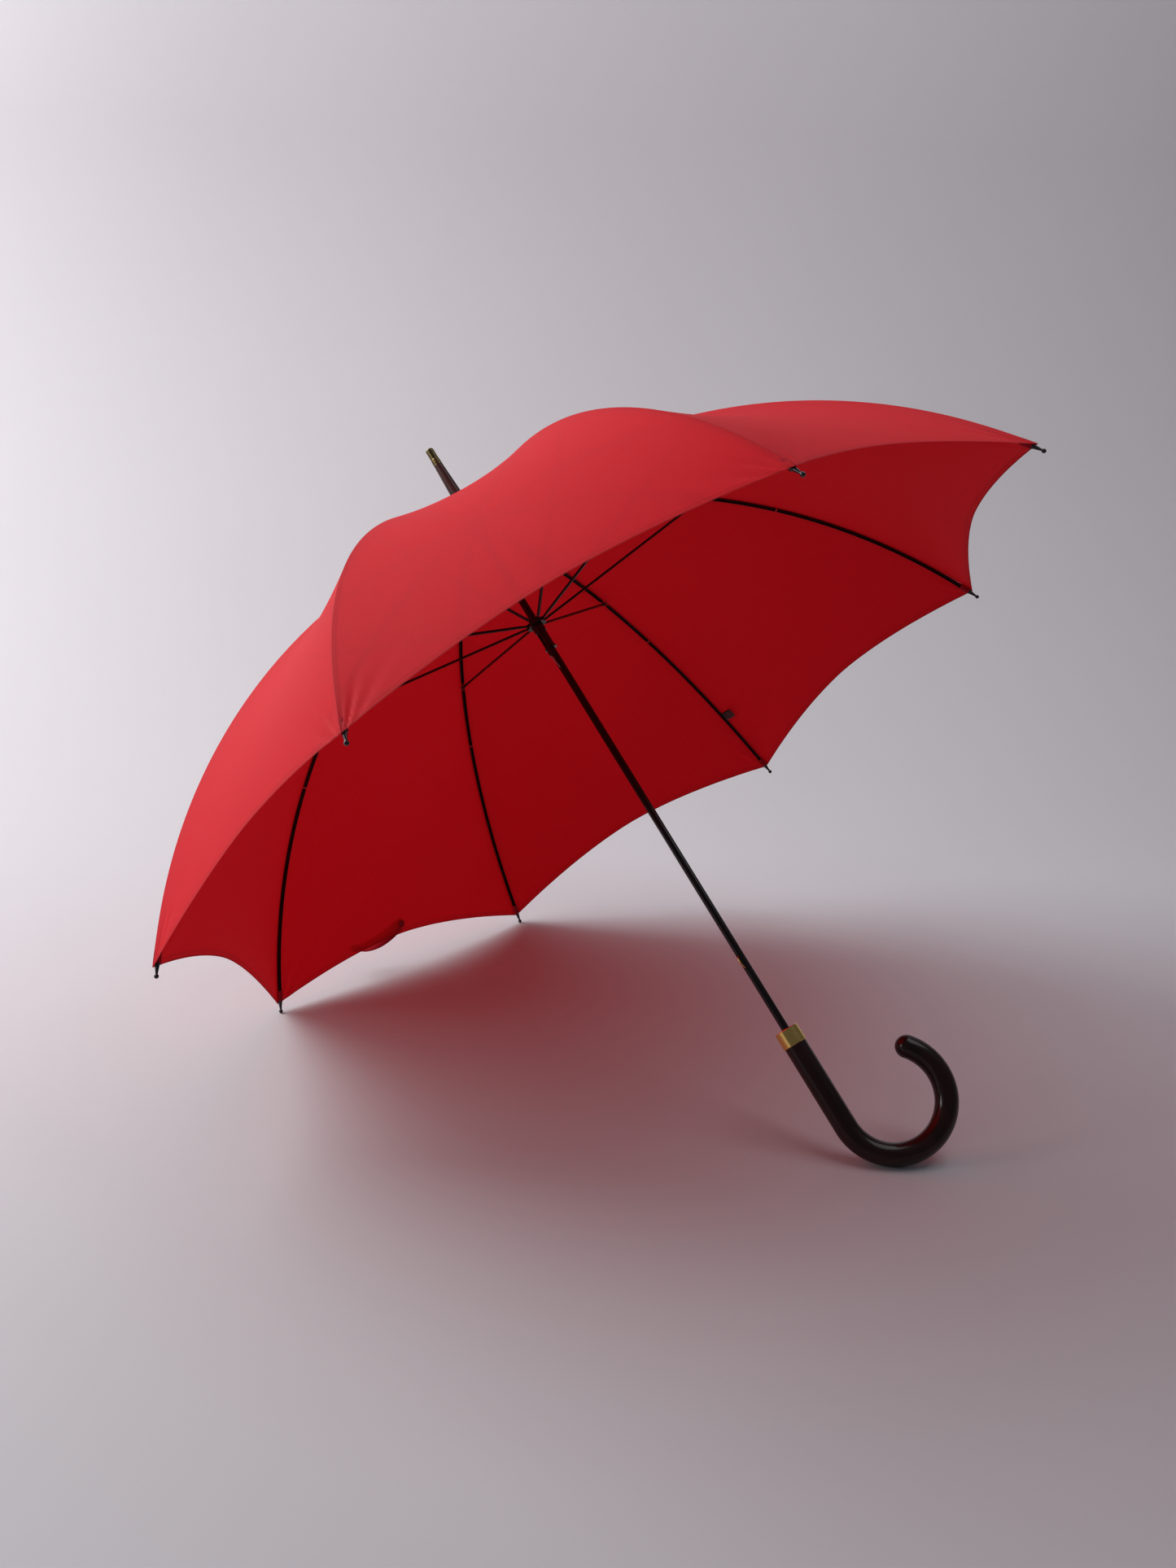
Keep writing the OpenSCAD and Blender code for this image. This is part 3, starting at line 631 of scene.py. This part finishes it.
def closure_strap():
    """Cloth strap with a pointed end, and its press stud: a socket on the canopy and a stud on the
    strap's free end."""
    half, rows = STRAP_WIDTH / 2, 44
    ring = [
        (-half, 0.2), (-half * 0.97, 0), (-half * 0.4, -0.02), (half * 0.4, -0.02),
        (half * 0.97, 0), (half, 0.2), (half, 0.8), (half * 0.97, 1), (half * 0.4, 0.98),
        (-half * 0.4, 0.98), (-half * 0.97, 1), (-half, 0.8),
    ]
    verts, uvs = [], []
    for k in range(rows):
        t = k / (rows - 1)
        point = 1 if t < 0.9 else math.sqrt(max(0.02, 1 - ((t - 0.9) / 0.1) ** 2 * 0.75))
        for s, up in ring:
            verts.append(to_row(strap_own(t, s * point, up * STRAP_THICK)))
            uvs.append((s, 0.1 * t + 0.02))
    faces = grid_faces(rows, len(ring), closed=True)
    last = (rows - 1) * len(ring)
    faces += [tuple(range(len(ring))), tuple(reversed(range(last, last + len(ring))))]
    strap = new_object("closure_strap_cloth", verts, faces, CLOTH_PLAIN, uvs)
    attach(strap, f"rib_outer_{STRAP_RIB}")
    strap_pleat(strap)
    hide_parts("closure_strap")

    snap = MATERIALS["snap_black"]
    cap = button_profile(0.0055, 0.0022)
    at_root = float(STRAP_GORE), np.float64(STRAP_ROOT), np.float64(0)
    root, out = to_row(cloth_own(*at_root)), cloth_normal(*at_root)
    if out @ (root - ORIGIN) < 0:
        out = -out
    socket = turned("snap_socket_cap", root + out * 0.0016, out, cap, snap)
    backing = button_profile(0.0042, 0.0008, 0.0003)
    inside = turned("snap_backing", root - out * 0.0002, -out, backing, CLOTH_PLAIN)
    middle = to_row(strap_own(STUD_AT, 0, STRAP_THICK))
    facing = unit(to_row(strap_own(STUD_AT, 0, STRAP_THICK + 0.001)) - middle)
    stud = turned("snap_stud_cap", middle - facing * 0.0002, facing, cap, snap)
    below = middle - facing * (STRAP_THICK - 0.0001)
    under = turned("snap_stud_ring", below, -facing, button_profile(0.0052, 0.0016), snap)
    for piece, node in ((socket, "snap_socket"), (inside, None), (stud, "snap_stud"), (under, None)):
        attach(piece, f"rib_outer_{STRAP_RIB}")
        strap_pleat(piece)
        if node:
            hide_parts(node)


def rib_frame(rib, length, up=0.0):
    """A point on a rib's arc and its directions in the row frame: out from the rib, to its side, and
    towards its tip."""
    bearing = TIP_BEARING + length / RIB_BEND
    turn = math.radians(STEP * rib)
    flat_part = math.cos(bearing)
    out = along([flat_part * math.cos(turn), flat_part * math.sin(turn), math.sin(bearing)])
    side = along([-math.sin(turn), math.cos(turn), 0])
    tipward = np.cross(side, out)
    if tipward @ (rib_line(rib, 0) - rib_line(rib, 0.1)) < 0:
        tipward = -tipward
    return rib_line(rib, length, up - CLOTH_LIFT), out, side, tipward


def sleeve(name, rib, start, end, radius, material, sides=26, flare=0.0):
    """Short cloth tube round a rib, from one distance from the tip to another."""
    verts, uvs = [], []
    rows = 9
    for k in range(rows):
        share = k / (rows - 1)
        middle, out, side, _ = rib_frame(rib, start + (end - start) * share)
        r = radius + flare * share + 0.00012 * math.sin(share * 9)
        for j in range(sides):
            a = 2 * math.pi * j / sides
            pinch = 1 + 0.035 * math.sin(5 * a + rib) * (1 - share)
            verts.append(middle + (out * math.cos(a) + side * math.sin(a)) * r * pinch)
            uvs.append((r * a, 0.02 + share * (end - start)))
    return new_object(name, verts, grid_faces(rows, sides, closed=True), material, uvs)


def thread_tie(rib):
    """A few turns of thread that tie the seam to the rib."""
    at_len = RIB_LENGTH * (1 - TIE_SHARE)
    turns, steps, around, thread = 4, 30, 8, 0.00028
    verts = []
    for k in range(turns * steps + 1):
        a = 2 * math.pi * k / steps
        slide = (k / steps - turns / 2) * 0.0006
        middle, out, side, tipward = rib_frame(rib, at_len + slide)
        square = 1 / max(abs(math.cos(a)), abs(math.sin(a))) ** 0.55
        way = out * math.cos(a) * 0.95 + side * math.sin(a) * 1.12
        for j in range(around):
            b = 2 * math.pi * j / around
            spot = middle + way * 0.00178 * square + out * 0.00028 + unit(way) * math.cos(b) * thread
            verts.append(spot + tipward * math.sin(b) * thread)
    rows = turns * steps + 1
    tie = new_object(f"thread_tie_{rib}", verts, grid_faces(rows, around, closed=True), THREAD)
    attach(tie, f"rib_outer_{rib}")


def care_label():
    """Folded ribbon label, sewn in the seam beside its rib."""
    width, reach, rows, cols, thick = 0.0115, 0.0150, 22, 8, 0.00022
    middle, out, side, tipward = rib_frame(LABEL_RIB, LABEL_FROM_TIP)
    side = -side
    verts, uvs = [], []
    for k in range(rows):
        t = k / (rows - 1)
        turn = math.pi * t
        along_side = reach * math.sin(turn) ** 0.6
        height = -0.0007 * math.cos(turn)
        for j in range(cols):
            w = j / (cols - 1) - 0.5
            off = 0.0021 + along_side * 0.90
            under = CLOTH_LIFT - 0.484 * off - 0.0014 - 0.0022 * (along_side / reach) ** 1.4
            spot = middle + side * off + out * (under + height - 0.0005 * math.sin(3 * w))
            verts.append(spot + tipward * (w * width - 0.16 * along_side))
            uvs.append((w * width, t * 2 * reach))
    label = new_object("care_label", verts, grid_faces(rows, cols), MATERIALS["label_cloth"], uvs)
    thicken = label.modifiers.new("thickness", "SOLIDIFY")
    thicken.thickness = thick
    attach(label, f"rib_outer_{LABEL_RIB}")
    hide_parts("care_tab")


def crown_rosette():
    """Small gathered disc of the canopy's cloth, under the ferrule."""
    low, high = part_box("crown_rosette")
    middle = np.array((low + high) / 2)
    up, out, side = AXES[:, 2], AXES[:, 0], AXES[:, 1]
    centre = ORIGIN + up * ((middle - ORIGIN) @ up)
    inner, outer, rows, cols = 0.0056, 0.0130, 10, 144
    verts, uvs = [], []
    for k in range(rows):
        share = k / (rows - 1)
        r = inner + (outer - inner) * share
        for j in range(cols):
            a = 2 * math.pi * j / cols
            wave = 0.00035 * math.sin(18 * a) * (1 - 0.6 * share) + 0.0002 * math.sin(7 * a + 1)
            edge = r * (1 + 0.012 * math.sin(9 * a) * share)
            lift = 0.0003 + wave - 0.0009 * share ** 3
            verts.append(centre + (out * math.cos(a) + side * math.sin(a)) * edge + up * lift)
            uvs.append((edge * math.cos(a), 0.05 + edge * math.sin(a)))
    disc = new_object("rosette_cloth", verts, grid_faces(rows, cols, closed=True), CLOTH_PLAIN, uvs)
    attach(disc, "frame")
    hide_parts("crown_rosette")


def cloth_trim():
    """Strap, label, crown rosette, and each rib's thread tie and tip pocket."""
    closure_strap()
    care_label()
    crown_rosette()
    for rib in range(1, RIBS + 1):
        thread_tie(rib)
        pocket = sleeve(
            f"tip_pocket_{rib}", rib, POCKET_START, POCKET_END, POCKET_RADIUS, CLOTH_PLAIN,
            flare=POCKET_FLARE,
        )
        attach(pocket, f"rib_outer_{rib}")


# ---------------------------------------------------------------- stage, lights, camera


def cove():
    """Pale paper that runs from the floor up behind the object in one curve."""
    material = paper_floor("paper", (0.62, 0.602, 0.628))
    away = Vector((-0.636, 0.713, 0)).normalized()
    across = Vector((away.y, -away.x, 0))
    bend, start, height = 1.1, 0.66, 4.0
    profile = [(-5.0, 0.0), (start, 0.0)]
    for k in range(1, 25):
        a = math.radians(90 * k / 24)
        profile.append((start + bend * math.sin(a), bend * (1 - math.cos(a))))
    profile.append((start + bend, height))
    verts = []
    for d, z in profile:
        for s in (-6.0, 6.0):
            verts.append(away * d + across * s + Vector((0, 0, z)))
    new_object("paper_cove", verts, grid_faces(len(profile), 2), material)


def area_light(name, place, aim, size, power, color):
    """Rectangular softbox at place, turned towards aim."""
    data = bpy.data.lights.new(name, "AREA")
    data.shape = "RECTANGLE"
    data.size, data.size_y = size
    data.energy = power
    data.color = color
    lamp = bpy.data.objects.new(name, data)
    bpy.context.scene.collection.objects.link(lamp)
    lamp.location = place
    lamp.rotation_euler = (Vector(aim) - Vector(place)).to_track_quat("-Z", "Y").to_euler()


def studio():
    """Softboxes and a dim, cool surround."""
    warm, cool, wash = (1.0, 0.985, 0.985), (0.97, 0.97, 1.0), (0.98, 0.97, 1.0)
    area_light("key", (-2.05, -1.0, 1.85), (-0.05, 0.25, 0.5), (2.4, 1.8), 77, warm)
    area_light("low", (-0.9, -1.75, 0.75), (0.1, 0.3, 0.2), (0.6, 0.5), 5, warm)
    area_light("top", (0.65, 0.45, 1.6), (0.65, 0.45, 0), (1.0, 1.0), 5, cool)
    area_light("wash", (-0.24, 0.56, 2.9), (-0.83, 1.51, 2.3), (1.6, 1.0), 14, wash)
    world = bpy.data.worlds.new("studio")
    bpy.context.scene.world = world
    world.use_nodes = True
    back = world.node_tree.nodes["Background"]
    back.inputs["Color"].default_value = (0.86, 0.88, 1.0, 1)
    back.inputs["Strength"].default_value = 0.10
    bpy.context.scene.view_settings.view_transform = "Standard"


def camera():
    """Camera at the viewing angle, rolled a little, without depth of field."""
    data = bpy.data.cameras.new("camera")
    data.lens = CAMERA_LENS
    data.sensor_width = 36
    data.dof.use_dof = False
    eye = bpy.data.objects.new("camera", data)
    bpy.context.scene.collection.objects.link(eye)
    place, aim = Vector(CAMERA_PLACE), Vector(CAMERA_AIM)
    look = (aim - place).to_track_quat("-Z", "Y").to_matrix().to_4x4()
    roll = Matrix.Rotation(math.radians(CAMERA_ROLL), 4, "Z")
    eye.matrix_world = Matrix.Translation(place) @ look @ roll
    bpy.context.scene.camera = eye


dress_frame()
build_canopy()
cloth_trim()
cove()
studio()
camera()
